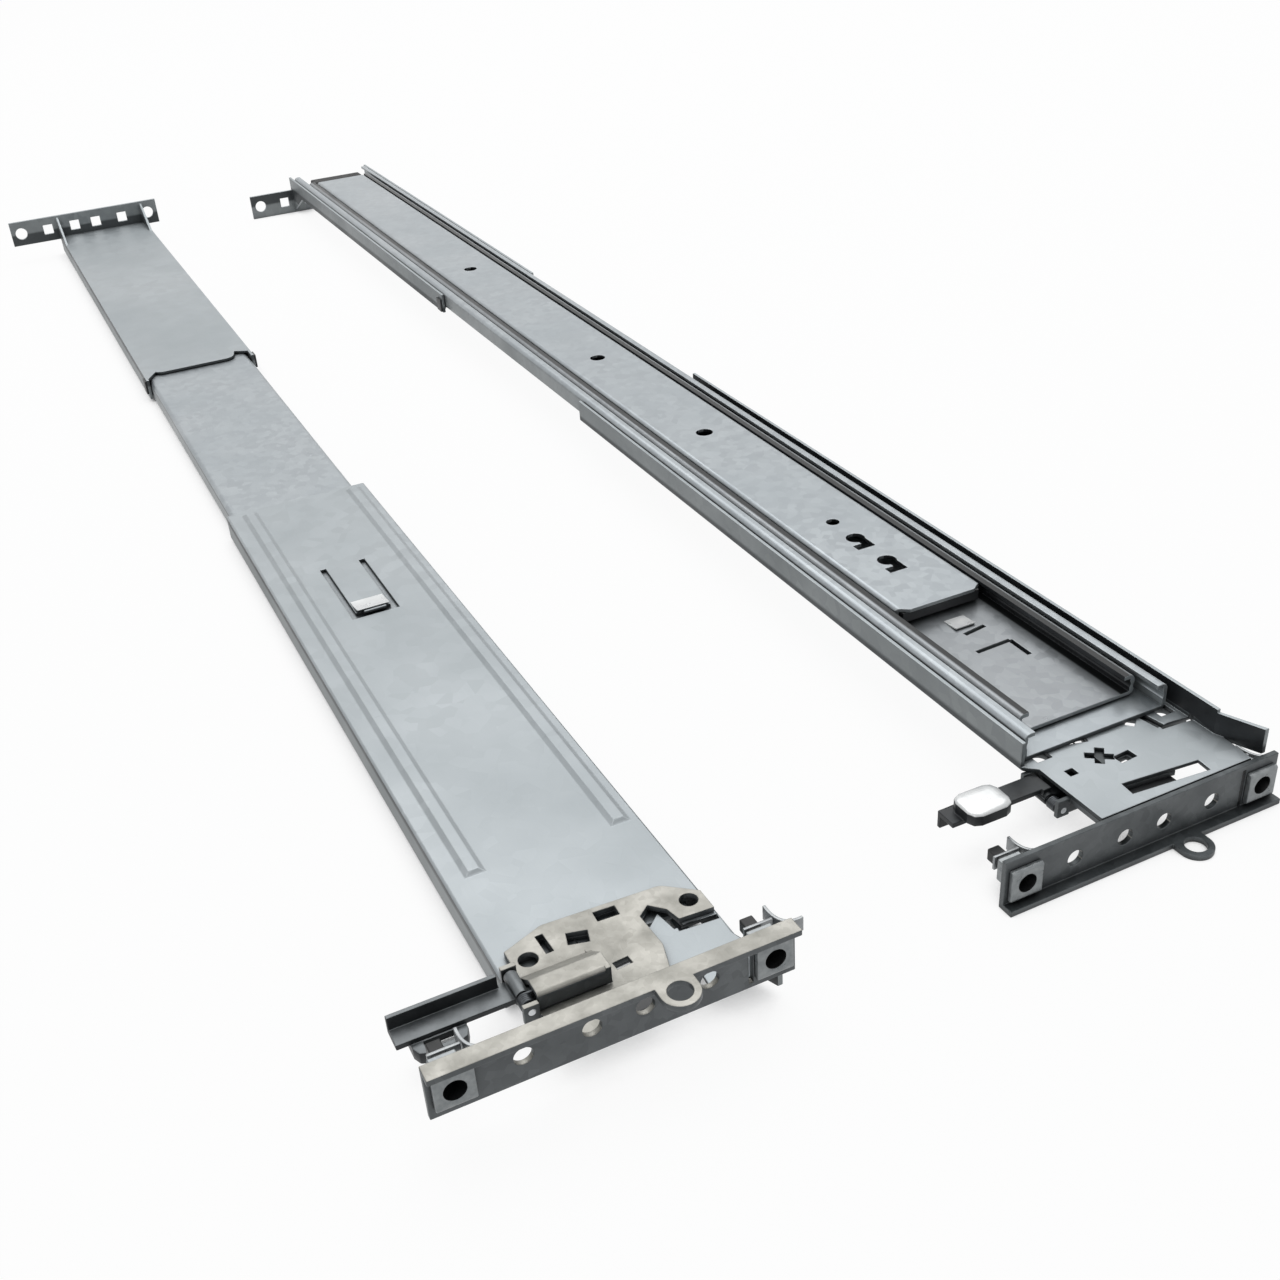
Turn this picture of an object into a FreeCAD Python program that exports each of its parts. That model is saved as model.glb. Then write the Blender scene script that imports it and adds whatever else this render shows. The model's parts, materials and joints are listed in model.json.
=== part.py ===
"""Pair of telescoping ball-bearing server rails for a four-post rack.

Each rail is drawn once in its own frame and then placed for the left and the right hand:
  u  across the rail, pointing up when the rail is in its rack
  s  along the rail, from the front mounting flange (s = 0) to the rear one
  o  outward, away from the server; the outer face of the slide channel is o = 0
The right rail is the mirror image of the left one in o. The left rail lies with its outer
face up and the right rail with its running side up. Millimetres; +Z up, fronts toward -Y.
"""
import FreeCAD, Part
import math
import os

V = FreeCAD.Vector

# ---- driving dimensions -------------------------------------------------------------
rail_length = 770.0        # front flange face to rear flange face, shut to its shortest
flange_width = 88.0        # two rack units, less a little
flange_height = 14.5       # from o = 0 to the outer face of the lip
rail_spacing = 147.0       # left rail to right rail, as they lie side by side
rail_centre = 53.5         # centre line of the slide across the flange

# rack hole pattern over two units
rack_unit = 44.45
hole_step = 15.875         # between holes within one unit
unit_gap = 12.7            # between the last hole of one unit and the first of the next
pin_spacing = 2 * rack_unit - unit_gap
lower_pin = (flange_width - pin_spacing) / 2.0

# sheet thicknesses
support_sheet = 1.2
bracket_sheet = 1.6
slide_sheet = 1.4
inner_sheet = 1.2
bend = 0.6                 # inside radius of a bend

# slide cross-section, measured from the centre line and from o = 0
ball_radius = 1.6
race_clearance = 0.1
channel_half = 24.3        # outer face of the slide channel's wall
lip_level = 8.5            # how far the channel's lips stand off o = 0
middle_half = 20.1         # outer face of the middle member's wall
middle_wall = 1.6
inner_half = 15.7          # outer face of the inner member's wall
slide_depth = 8.9          # o = 0 to the running face of the inner member
web_gap = 0.5              # between the webs of two members
lip_gap = 0.6              # between a lip's edge and the member inside it
cage_sheet = 0.5
cage_slack = 0.08

# stations along the rail
support_end = 310.0
channel_start = 30.5
channel_end = 762.0
middle_start = 38.5
middle_end = 742.0
inner_start = 99.0
inner_end = 738.0
outer_cage_start = 255.0
outer_cage_length = 300.0
inner_cage_start = 275.0
inner_cage_length = 280.0
balls_per_row = 4
ball_sides = 6             # a ball is drawn with this many flat sides round its middle
rear_start = 484.0
rear_play = 0.3            # between the rear bracket and the channel it slides on

# front support
support_low = 27.5         # lower edge of its web, at the flange's own scale
support_high = 81.5
support_wall = 7.5         # depth of its walls below o = 0
wall_start = 29.0
upper_wall_start = 15.0
bead_width = 5.6           # at its foot
bead_height = 1.0
bead_slope = 1.3           # how far its sides and ends lean in
bead_start = 67.0
low_bead_inset = 5.4
high_bead_inset = 8.2

# spring tongue lanced in the support
tongue_low = 47.5
tongue_high = 61.5
tongue_root = 248.0
tongue_tip = 211.0
tongue_slot = 2.0

# front bracket
lip_reach = 3.2
ring_centre = 56.0
ring_reach = 6.1
ring_outer = 4.7
ring_bore = 2.9
flange_hole = 2.3
relief_inset = 5.6         # slit in the flange beside the upper pin, from the pin's centre
relief_width = 1.1
hood_sheet = 1.3
hood_low = 31.0
hood_high = 49.0
hood_front = 14.5
hood_top_end = 20.0
hood_rear = 26.5
hood_height = 7.6

# mounting pins
pin_square = 9.4
pin_reach = 1.6
pin_chamfer = 0.5
pin_bore = 2.6
pin_bore_depth = 7.0
pin_level = 7.25           # centre line of the rack holes above o = 0
pin_neck = 3.2             # half the width of the square shank through the flange
pin_tail = 1.7             # half the width of the slim tail behind the shank
shank_end = 6.4
pin_tail_end = 12.2

# spring clips on the pins' tails, as distances from the pin's centre and stations
clip_sheet = 0.8
clip_seat = 8.2            # where the strip crosses the tail
clip_leg = 4.6             # the leg stands this far to the side of the tail
clip_leg_end = 13.2
clip_foot = 11.4           # the foot flares out this far
clip_foot_station = 5.2
clip_half_height = 2.0

# latch lever
hinge_u = 29.0
hinge_o = 4.4
hinge_radius = 0.9
hinge_clearance = 0.05
barrel_radius = 1.7
barrel_start = 18.9
barrel_end = 26.4
ear_front = 13.4
ear_rear = 27.0
ear_sheet = 1.4
ear_half = 1.9             # half the width of an ear round the hinge pin
spring_wire = 0.8
spring_turns = 4
spring_sides = 8           # the spring's sleeve is drawn with flat sides
arm_sheet = 1.5
arm_low = -0.4
arm_front = 20.4
arm_rear = 26.8
rocker_end = 37.0
paddle_low = 2.8
paddle_high = 15.8
paddle_front = 16.2
paddle_rear = 26.6
paddle_thick = 2.8
paddle_nose = 2.8          # how far its corners are cut back
paddle_dish = 1.3          # width of the rim round the hollow in its outer face

# rear bracket
rear_sheet = 1.3
rear_hole = 3.4
rear_window = 4.0

# cuts in the middle member's web in front of the running member
stop_slit = ((52.6, 86.4), (60.6, 87.6))
corner_slit = ((49.5, 76.6), (61.7, 77.1), (61.6, 67.9))
slit_width = 1.5

# holes in the running member: round ones, and the seats of the drop-in J slots
stud_hole = 3.2
inner_holes = (250.0, 347.0, 503.0)
small_hole = 2.2
small_hole_station = 160.0
j_stations = (144.0, 126.0)
j_mouth = 3.1
j_lane = 3.2

# cages
outer_cage_height = 4.0
inner_cage_height = 3.5
outer_ball_o = -4.6
inner_ball_o = -5.3

# bumper
bumper_half = 16.0
bumper_length = 10.0
bumper_gap = 2.0

# ---- placing ------------------------------------------------------------------------
front_reach = ring_reach + ring_outer
clip_tip = lower_pin + pin_spacing + clip_foot
x_origin = -(arm_low + rail_spacing + clip_tip) / 2.0
y_origin = -(rail_length - front_reach) / 2.0
hands = ("left", "right")


def placed(shape, hand):
    """Moves a shape from the rail's frame to where that rail lies."""
    if hand == "left":
        return shape.translated(V(x_origin, y_origin, slide_depth))
    turned = shape.mirror(V(0, 0, 0), V(0, 0, 1))
    return turned.translated(V(x_origin + rail_spacing, y_origin, flange_height))


# ---- shape helpers ------------------------------------------------------------------
def block(u0, u1, s0, s1, o0, o1):
    return Part.makeBox(u1 - u0, s1 - s0, o1 - o0, V(u0, s0, o0))


def rod(radius, length, start, direction):
    return Part.makeCylinder(radius, length, start, direction)


def rounded_wire(corners, lift):
    """Closed outline through corners (x, y, radius), rounded by arcs; lift makes it 3-D."""
    edges = []
    count = len(corners)
    ends = []
    for i in range(count):
        x, y, radius = corners[i]
        here = V(x, y, 0)
        before = V(corners[i - 1][0], corners[i - 1][1], 0) - here
        after = V(corners[(i + 1) % count][0], corners[(i + 1) % count][1], 0) - here
        if radius <= 0:
            ends.append((here, here, here))
            continue
        half_angle = before.getAngle(after) / 2.0
        reach = radius / math.tan(half_angle)
        start = here + before.normalize() * reach
        end = here + after.normalize() * reach
        bisector = (before + after).normalize()
        centre = here + bisector * (radius / math.sin(half_angle))
        middle = centre - bisector * radius
        ends.append((start, middle, end))
    for i in range(count):
        start, middle, end = ends[i]
        if (end - start).Length > 1e-6:
            edges.append(Part.Arc(lift(start), lift(middle), lift(end)).toShape())
        following = ends[(i + 1) % count][0]
        if (following - end).Length > 1e-6:
            edges.append(Part.LineSegment(lift(end), lift(following)).toShape())
    return Part.Wire(edges)


def plate(corners, o0, o1):
    """Flat sheet in the u-s plane with an outline of (u, s, radius)."""
    wire = rounded_wire(corners, lambda p: V(p.x, p.y, o0))
    return Part.Face(wire).extrude(V(0, 0, o1 - o0))


def section(corners, s0, s1):
    """Profile in the u-o plane, drawn out along the rail."""
    wire = rounded_wire(corners, lambda p: V(p.x, s0, p.y))
    return Part.Face(wire).extrude(V(0, s1 - s0, 0))


def side_section(corners, u0, u1):
    """Profile in the s-o plane, drawn out across the rail."""
    wire = rounded_wire(corners, lambda p: V(u0, p.x, p.y))
    return Part.Face(wire).extrude(V(u1 - u0, 0, 0))


def bent_sheet(path, thickness):
    """Outline (x, y, radius) of a sheet whose left-hand face follows path.

    The outside of each bend is an arc of one thickness, and its inside is left sharp.
    """
    count = len(path)
    normals = []
    for i in range(count - 1):
        dx = path[i + 1][0] - path[i][0]
        dy = path[i + 1][1] - path[i][1]
        size = math.hypot(dx, dy)
        normals.append((dy / size, -dx / size))
    face = []
    back = []
    for i in range(count):
        if i == 0 or i == count - 1:
            nx, ny = normals[0] if i == 0 else normals[-1]
            face.append((path[i][0], path[i][1], 0))
            back.append((path[i][0] + nx * thickness, path[i][1] + ny * thickness, 0))
            continue
        ax, ay = normals[i - 1]
        bx, by = normals[i]
        scale = thickness / (1 + ax * bx + ay * by)
        turn = ax * by - ay * bx
        face.append((path[i][0], path[i][1], thickness if turn < 0 else 0))
        corner = (path[i][0] + (ax + bx) * scale, path[i][1] + (ay + by) * scale)
        back.append((corner[0], corner[1], 0 if turn < 0 else thickness))
    return face + back[::-1]


def slit(u0, s0, u1, s1, width, o0, o1):
    """Cutter for a square-ended slit between two points in the web."""
    length = math.hypot(u1 - u0, s1 - s0)
    body = Part.makeBox(length, width, o1 - o0, V(0, -width / 2.0, 0))
    body.rotate(V(0, 0, 0), V(0, 0, 1), math.degrees(math.atan2(s1 - s0, u1 - u0)))
    return body.translated(V(u0, s0, o0))


def hole(u, s, radius, o0, o1):
    return Part.makeCylinder(radius, o1 - o0, V(u, s, o0))


def joined(shapes):
    whole = shapes[0].fuse(shapes[1:])
    return whole.removeSplitter()


# ---- slide members ------------------------------------------------------------------
race_radius = ball_radius + race_clearance
race_bite = 0.3            # how deep a ball's track is rolled into the wall
outer_ball_v = channel_half - slide_sheet - race_radius + race_bite
inner_ball_v = middle_half - middle_wall - race_radius + race_bite
middle_floor = -slide_sheet - web_gap
middle_back = middle_floor - inner_sheet


def c_member(half, floor, lip, lip_edge, web, wall, s0, s1):
    """C-shaped member: web at floor, walls at half, lips turned in to lip_edge."""
    c = rail_centre
    inside = half - wall
    lip_back = -lip + wall * 0.85
    corners = [
        (c - half, floor, bend + web), (c + half, floor, bend + web),
        (c + half, -lip, bend + wall), (c + lip_edge, -lip, 0),
        (c + lip_edge, lip_back, 0), (c + inside, lip_back, 0),
        (c + inside, floor - web, 0), (c - inside, floor - web, 0),
        (c - inside, lip_back, 0), (c - lip_edge, lip_back, 0),
        (c - lip_edge, -lip, 0), (c - half, -lip, bend + wall)]
    return section(corners, s0, s1)


def raceways(v, o, s0, s1):
    """Round cutters along both rows of balls."""
    cutters = []
    for side in (-1, 1):
        start = V(rail_centre + side * v, s0 - 1, o)
        cutters.append(rod(race_radius, s1 - s0 + 2, start, V(0, 1, 0)))
    return cutters


def slide_channel():
    lip_edge = middle_half + lip_gap
    shape = c_member(channel_half, 0, lip_level, lip_edge, slide_sheet, slide_sheet,
                     channel_start, channel_end)
    return shape.cut(raceways(outer_ball_v, outer_ball_o, channel_start, channel_end))


def middle_member():
    lip_edge = inner_half + lip_gap
    shape = c_member(middle_half, middle_floor, lip_level, lip_edge, inner_sheet,
                     middle_wall, middle_start, middle_end)
    shape = shape.cut(raceways(outer_ball_v, outer_ball_o, middle_start, middle_end))
    shape = shape.cut(raceways(inner_ball_v, inner_ball_o, middle_start, middle_end))
    # a short slit for the stop and an angled one round its spring
    bottom = middle_back - 1
    top = middle_floor + 1
    for path in (stop_slit, corner_slit):
        for start, end in zip(path, path[1:]):
            shape = shape.cut(slit(start[0], start[1], end[0], end[1], slit_width, bottom, top))
    return shape


def inner_member():
    """Running member: fixed to the server's side, with drop-in J slots for its studs."""
    c = rail_centre
    rim = middle_back - web_gap
    outside = inner_sheet + bend
    shape = section([(c - inner_half, -slide_depth, outside),
                     (c + inner_half, -slide_depth, outside),
                     (c + inner_half, rim, 0), (c + inner_half - inner_sheet, rim, 0),
                     (c + inner_half - inner_sheet, inner_sheet - slide_depth, 0),
                     (c - inner_half + inner_sheet, inner_sheet - slide_depth, 0),
                     (c - inner_half + inner_sheet, rim, 0), (c - inner_half, rim, 0)],
                    inner_start, inner_end)
    shape = shape.cut(raceways(inner_ball_v, inner_ball_o, inner_start, inner_end))
    low = -slide_depth - 1
    high = -slide_depth + inner_sheet + 1
    for s in inner_holes:
        shape = shape.cut(hole(c, s, stud_hole, low, high))
    shape = shape.cut(hole(c, small_hole_station, small_hole, low, high))
    # J slots: a wide mouth, a short lane and a seat to one side
    for s in j_stations:
        mouth = hole(c, s + 2.4, j_mouth, low, high)
        lane = block(c - 0.6, c - 0.6 + j_lane, s - 3.6 - j_lane / 2, s + 2.4, low, high)
        seat = block(c - 3.8, c + 1.0, s - 3.6 - j_lane / 2, s - 3.6 + j_lane / 2, low, high)
        shape = shape.cut([mouth, lane, seat])
    # front corners are cut back so that the member starts easily in its cages
    for side in (-1, 1):
        tip = V(c + side * inner_half, inner_start, low)
        corner = Part.makePolygon([tip, tip + V(-side * 4.0, 0, 0),
                                   tip + V(0, 3.0, 0), tip])
        shape = shape.cut(Part.Face(corner).extrude(V(0, 0, slide_depth)))
    return shape


def ball_stations(start, length):
    step = length / balls_per_row
    return [start + step * (i + 0.5) for i in range(balls_per_row)]


def cage(v, o, height, start, length):
    """Two retainer strips, each with one pocket for every ball."""
    strips = []
    for side in (-1, 1):
        middle = rail_centre + side * v
        strip = block(middle - cage_sheet / 2, middle + cage_sheet / 2,
                      start, start + length, o - height / 2, o + height / 2)
        pocket = ball_radius + cage_slack
        for s in ball_stations(start, length):
            strip = strip.cut(block(middle - 2, middle + 2, s - pocket, s + pocket,
                                    o - pocket, o + pocket))
        strips.append(strip)
    return Part.makeCompound(strips)


def flat_ball(centre):
    """Ball with flat faces, so that the many balls stay light; its corners are on the sphere."""
    rings = []
    for latitude in (-45, 0, 45):
        reach = ball_radius * math.cos(math.radians(latitude))
        height = ball_radius * math.sin(math.radians(latitude))
        ring = []
        for i in range(ball_sides):
            angle = 2 * math.pi * i / ball_sides
            ring.append(centre + V(reach * math.cos(angle), height, reach * math.sin(angle)))
        rings.append(ring)
    poles = (centre + V(0, -ball_radius, 0), centre + V(0, ball_radius, 0))
    faces = []
    for i in range(ball_sides):
        j = (i + 1) % ball_sides
        faces.append(Part.makePolygon([poles[0], rings[0][i], rings[0][j], poles[0]]))
        faces.append(Part.makePolygon([poles[1], rings[2][i], rings[2][j], poles[1]]))
        for k in (0, 1):
            faces.append(Part.makePolygon([rings[k][i], rings[k][j], rings[k + 1][j],
                                           rings[k + 1][i], rings[k][i]]))
    shell = Part.makeShell([Part.Face(outline) for outline in faces])
    solid = Part.makeSolid(shell)
    if solid.Volume < 0:
        solid.reverse()
    return solid


def balls(v, o, start, length):
    rows = []
    for side in (-1, 1):
        for s in ball_stations(start, length):
            rows.append(flat_ball(V(rail_centre + side * v, s, o)))
    return Part.makeCompound(rows)


# ---- front support and bracket ------------------------------------------------------
def front_support():
    face = support_sheet
    low = support_low
    high = support_high
    web = plate([(low + 3.5, 2.0, 0), (high - 1.0, 2.0, 0), (high, upper_wall_start, 0),
                 (high, support_end, 0), (low, support_end, 0), (low, wall_start, 0),
                 (low + 3.5, wall_start - 3.0, 0)], 0, face)
    lower_wall = block(low, low + support_sheet, wall_start, support_end,
                       -support_wall, face)
    upper_wall = block(high - support_sheet, high, upper_wall_start, support_end,
                       -support_wall, face)
    # the upper wall flares outward at its front end and ties to the flange
    flare = Part.makePolygon([V(high - support_sheet, upper_wall_start, -support_wall + 1),
                              V(high, upper_wall_start, -support_wall + 1),
                              V(high + 5.0, 3.0, -support_wall + 1),
                              V(high + 3.6, 3.0, -support_wall + 1),
                              V(high - support_sheet, upper_wall_start, -support_wall + 1)])
    flare = Part.Face(flare).extrude(V(0, 0, support_wall - 1 + face))
    beads = []
    for u in (low + low_bead_inset, high - high_bead_inset):
        beads.append(bead(u, face))
    shape = joined([web, lower_wall, upper_wall, flare] + beads)
    shape = shape.makeFillet(0.8, outer_bends(shape, low, high, face))
    under = -1.0
    over = face + bead_height + 1
    # spring tongue between two slots, with its free tip lifted
    tongue = [slit(tongue_low, tongue_tip + 1, tongue_low, tongue_root, tongue_slot,
                   under, over),
              slit(tongue_high, tongue_tip + 1, tongue_high, tongue_root, tongue_slot,
                   under, over),
              block(tongue_low - tongue_slot / 2, tongue_high + tongue_slot / 2,
                    tongue_tip - 2.6, tongue_tip + 1, under, over)]
    shape = shape.cut(tongue)
    lift = side_section([(tongue_tip + 1, 0, 0), (tongue_tip + 1, face, 0),
                         (tongue_tip - 1.6, face + 1.6, 0.4),
                         (tongue_tip - 1.6, face + 0.4, 0.4)],
                        tongue_low + 3.4, tongue_high - 3.0)
    shape = shape.fuse(lift)
    # square clearance below the bracket's round holes, and the slots through both sheets
    for u, s, radius in web_holes:
        shape = shape.cut(block(u - radius, u + radius, s - radius, s + radius, under, over))
    for u0, s0, u1, s1, width in web_slots + hood_slots + hook_slots:
        shape = shape.cut(slit(u0, s0, u1, s1, width, under, over))
    return shape


def bead(u, face):
    """Raised rib with leaning sides and ends, from the front of the web to its rear."""
    low = face - bead_height / 2
    lean = bead_slope
    outlines = []
    for inset, level in ((0.0, face), (lean, face + bead_height)):
        a = V(u + inset, bead_start + inset, level)
        b = V(u + bead_width - inset, bead_start + inset, level)
        c = V(u + bead_width - inset, support_end - 3.0 - inset, level)
        d = V(u + inset, support_end - 3.0 - inset, level)
        outlines.append(Part.makePolygon([a, b, c, d, a]))
    foot = block(u, u + bead_width, bead_start, support_end - 3.0, low, face)
    return foot.fuse(Part.makeLoft(outlines, True, True))


def outer_bends(shape, low, high, face):
    """Long straight edges where the web turns into the walls."""
    found = []
    for edge in shape.Edges:
        box = edge.BoundBox
        along = box.YLength > 100 and box.XLength < 0.01 and box.ZLength < 0.01
        if along and abs(box.ZMin - face) < 0.01:
            if abs(box.XMin - low) < 0.01 or abs(box.XMin - high) < 0.01:
                found.append(edge)
    return found


# round holes through the bracket's plate (u, s, radius), which clear the support below
web_holes = ((35.1, 30.9, 2.4), (76.7, 30.4, 2.3))
# slots through both sheets (u, s, u, s, width)
web_slots = ((40.3, 37.2, 40.5, 30.6, 1.9), (45.6, 32.6, 50.6, 31.2, 4.0),
             (54.6, 36.2, 60.2, 35.9, 3.4), (44.6, 8.2, 68.2, 6.0, 4.6),
             (51.6, 18.9, 55.6, 19.2, 2.4))
# slots through the support's web only, below the hood
hood_slots = ((46.2, 24.0, 50.0, 21.2, 1.5), (46.8, 21.0, 49.6, 24.4, 1.5),
              (36.0, 20.8, 38.6, 20.8, 2.6))
# hooked slot through the support's web along the edge of the bracket's notch
hook_slots = ((64.2, 29.2, 68.6, 33.2, 2.6), (69.6, 33.6, 71.0, 24.8, 2.4),
              (70.6, 24.2, 80.8, 23.4, 1.5))


def flange_hole_places():
    """Rack holes between the two pins."""
    first = lower_pin + hole_step
    return (first, first + hole_step, first + hole_step + unit_gap,
            first + 2 * hole_step + unit_gap)


def front_bracket():
    face = support_sheet
    top = face + bracket_sheet
    # plate riveted on the outer face of the support
    left = hood_low
    right = support_high - 0.7
    shape = plate([(left, bend, 0), (62.5, bend, 0), (61.5, 9.0, 0), (64.5, 20.0, 0),
                   (64.0, 31.0, 0), (67.2, 33.6, 0), (70.6, 30.0, 0),
                   (71.6, 25.6, 0), (right, 25.0, 0), (right, 32.0, 0),
                   (73.0, 38.6, 4.0), (42.0, 40.2, 3.0), (left, 36.0, 0)], face, top)
    # flange, lip and ring tab
    flange = block(0, flange_width, 0, bracket_sheet, 0, flange_height)
    lip = block(0, flange_width, -lip_reach, bracket_sheet,
                flange_height - bracket_sheet, flange_height)
    ring = hole(ring_centre, -ring_reach, ring_outer, flange_height - bracket_sheet,
                flange_height)
    neck = block(ring_centre - ring_outer, ring_centre + ring_outer, -ring_reach,
                 -lip_reach, flange_height - bracket_sheet, flange_height)
    shape = joined([shape, flange, lip, ring, neck])
    shape = shape.cut(hole(ring_centre, -ring_reach, ring_bore, 0, flange_height + 1))
    for u in flange_hole_places():
        shape = shape.cut(rod(flange_hole, 6, V(u, -3, pin_level), V(0, 1, 0)))
    for u in (lower_pin, lower_pin + pin_spacing):
        shape = shape.cut(block(u - pin_neck, u + pin_neck, -1, bracket_sheet + 1,
                                pin_level - pin_neck, pin_level + pin_neck))
    relief = lower_pin + pin_spacing - relief_inset
    shape = shape.cut(block(relief - relief_width / 2, relief + relief_width / 2, -1,
                            bracket_sheet + 1, 1.4, flange_height - bracket_sheet))
    # window below the hood, then the hood itself
    window = block(27.0, hood_high, hood_front + 0.2, hood_rear - 0.6, face - 1, top + 1)
    shape = shape.cut(window)
    path = [(hood_rear, face + 0.1), (hood_rear, top - 0.2), (hood_top_end, hood_height),
            (hood_front, hood_height), (hood_front, top + 0.2)]
    hood = side_section(bent_sheet(path[::-1], hood_sheet), hood_low, hood_high)
    end = side_section([(hood_rear, face, 0), (hood_rear, top - 0.2, 0),
                        (hood_top_end, hood_height, 0),
                        (hood_front, hood_height, 0), (hood_front, face, 0)],
                       hood_high - hood_sheet, hood_high)
    # ears that carry the latch hinge pin
    ears = []
    for s in (ear_front, ear_rear):
        ear = block(hinge_u - ear_half, hood_low + 1.0, s, s + ear_sheet, face, top)
        post = block(hinge_u - ear_half, hinge_u + ear_half, s, s + ear_sheet, face,
                     hinge_o + ear_half)
        ears += [ear, post]
    shape = joined([shape, hood, end] + ears)
    shape = shape.cut(rod(hinge_radius, 20, V(hinge_u, ear_front - 2, hinge_o), V(0, 1, 0)))
    for u, s, radius in web_holes:
        shape = shape.cut(hole(u, s, radius, face - 1, top + 1))
    for u0, s0, u1, s1, width in web_slots:
        shape = shape.cut(slit(u0, s0, u1, s1, width, face - 1, top + 1))
    return shape


def mounting_pins():
    """Square-shouldered pins that seat in the rack holes, with a bore for a screw."""
    pins = []
    half = pin_square / 2
    for u in (lower_pin, lower_pin + pin_spacing):
        nose = side_section([(0, pin_level - half, 0), (0, pin_level + half, 0),
                             (-pin_reach + pin_chamfer, pin_level + half, 0),
                             (-pin_reach, pin_level + half - pin_chamfer, 0),
                             (-pin_reach, pin_level - half + pin_chamfer, 0),
                             (-pin_reach + pin_chamfer, pin_level - half, 0)],
                            u - half, u + half)
        shank = block(u - pin_neck, u + pin_neck, 0, shank_end, pin_level - pin_neck,
                      pin_level + pin_neck)
        tail = block(u - pin_tail, u + pin_tail, shank_end, pin_tail_end,
                     pin_level - pin_tail, pin_level + pin_tail)
        pin = joined([nose, shank, tail])
        bore = rod(pin_bore, pin_bore_depth, V(u, -pin_reach - 1, pin_level), V(0, 1, 0))
        pins.append(pin.cut(bore))
    return Part.makeCompound(pins)


def pin_clips():
    """Bent spring strips behind the flange, each held on the tail of its pin."""
    clips = []
    low = pin_level - clip_half_height
    high = pin_level + clip_half_height
    for u in (lower_pin, lower_pin + pin_spacing):
        seat = block(u - pin_tail - clip_sheet, u + clip_leg, clip_seat, clip_seat + clip_sheet,
                     low, high)
        eye = block(u - pin_tail, u + pin_tail, clip_seat - 1, clip_seat + clip_sheet + 1,
                    pin_level - pin_tail, pin_level + pin_tail)
        path = [(u + clip_leg, clip_leg_end), (u + clip_leg, clip_foot_station + 2.4),
                (u + clip_leg + 2.2, clip_foot_station + 0.4),
                (u + clip_foot, clip_foot_station)]
        outline = [(x, y, 0) for x, y, radius in bent_sheet(path, clip_sheet)]
        leg = plate(outline, low, high)
        clips.append(joined([seat, leg]).cut(eye))
    return Part.makeCompound(clips)


# ---- latch --------------------------------------------------------------------------
def latch_lever():
    base = support_sheet + 0.3
    top = base + arm_sheet
    arm = block(arm_low, hinge_u, arm_front, arm_rear, base, top)
    rib = block(arm_low, hinge_u - 3.4, arm_rear - 1.2, arm_rear, base, base + 5.0)
    barrel = rod(barrel_radius, barrel_end - barrel_start, V(hinge_u, barrel_start, hinge_o),
                 V(0, 1, 0))
    web = block(hinge_u - 1.4, hinge_u + 1.2, barrel_start + 0.9, barrel_end - 0.1, base,
                hinge_o)
    rocker = block(hinge_u, rocker_end, barrel_start, barrel_start + 2.2, hinge_o - 1.2,
                   hinge_o)
    # finger paddle: a rounded pad below the arm, hollowed where it stands out in front
    steps = ((0.0, paddle_nose), (paddle_nose * 0.3, paddle_nose * 0.3), (paddle_nose, 0.0))
    outline = [(paddle_low + a, paddle_front + b, 0) for a, b in steps]
    outline += [(paddle_high - a, paddle_front + b, 0) for a, b in steps[::-1]]
    outline += [(paddle_high - a, paddle_rear - b, 0) for a, b in steps]
    outline += [(paddle_low + a, paddle_rear - b, 0) for a, b in steps[::-1]]
    pad = plate(outline, base - paddle_thick, base + 0.2)
    dish = block(paddle_low + paddle_nose, paddle_high - paddle_nose, paddle_front + paddle_dish,
                 arm_front - 0.4, base - paddle_thick + 1.2, base + 0.3)
    pad = pad.cut(dish)
    shape = joined([arm, rib, barrel, web, rocker, pad])
    bore = rod(hinge_radius + hinge_clearance, 20, V(hinge_u, barrel_start - 5, hinge_o),
               V(0, 1, 0))
    return shape.cut(bore)


def latch_pin():
    """Hinge pin, flush with its two ears."""
    return rod(hinge_radius, ear_rear + ear_sheet - ear_front,
               V(hinge_u, ear_front, hinge_o), V(0, 1, 0))


def flat_sided(radius, s0, s1):
    """Prism round the hinge line."""
    corners = []
    for i in range(spring_sides):
        angle = 2 * math.pi * (i + 0.5) / spring_sides
        corners.append((hinge_u + radius * math.cos(angle),
                        hinge_o + radius * math.sin(angle), 0))
    return section(corners, s0, s1)


def latch_spring():
    """Torsion spring: its turns lie close round the hinge pin, with a leg under the hood."""
    start = ear_front + ear_sheet + 0.4
    end = start + spring_turns * spring_wire
    bore = hinge_radius + 0.2
    coil = flat_sided(bore + spring_wire, start, end)
    coil = coil.cut(flat_sided(bore, start - 1, end + 1))
    leg = block(hinge_u + bore + 0.1, hinge_u + 7.0, end - spring_wire, end,
                hinge_o - spring_wire / 2, hinge_o + spring_wire / 2)
    return joined([coil, leg])


# ---- rear bracket -------------------------------------------------------------------
rear_low = rail_centre - channel_half - rear_play - rear_sheet
rear_high = rail_centre + channel_half + rear_play + rear_sheet


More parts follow.
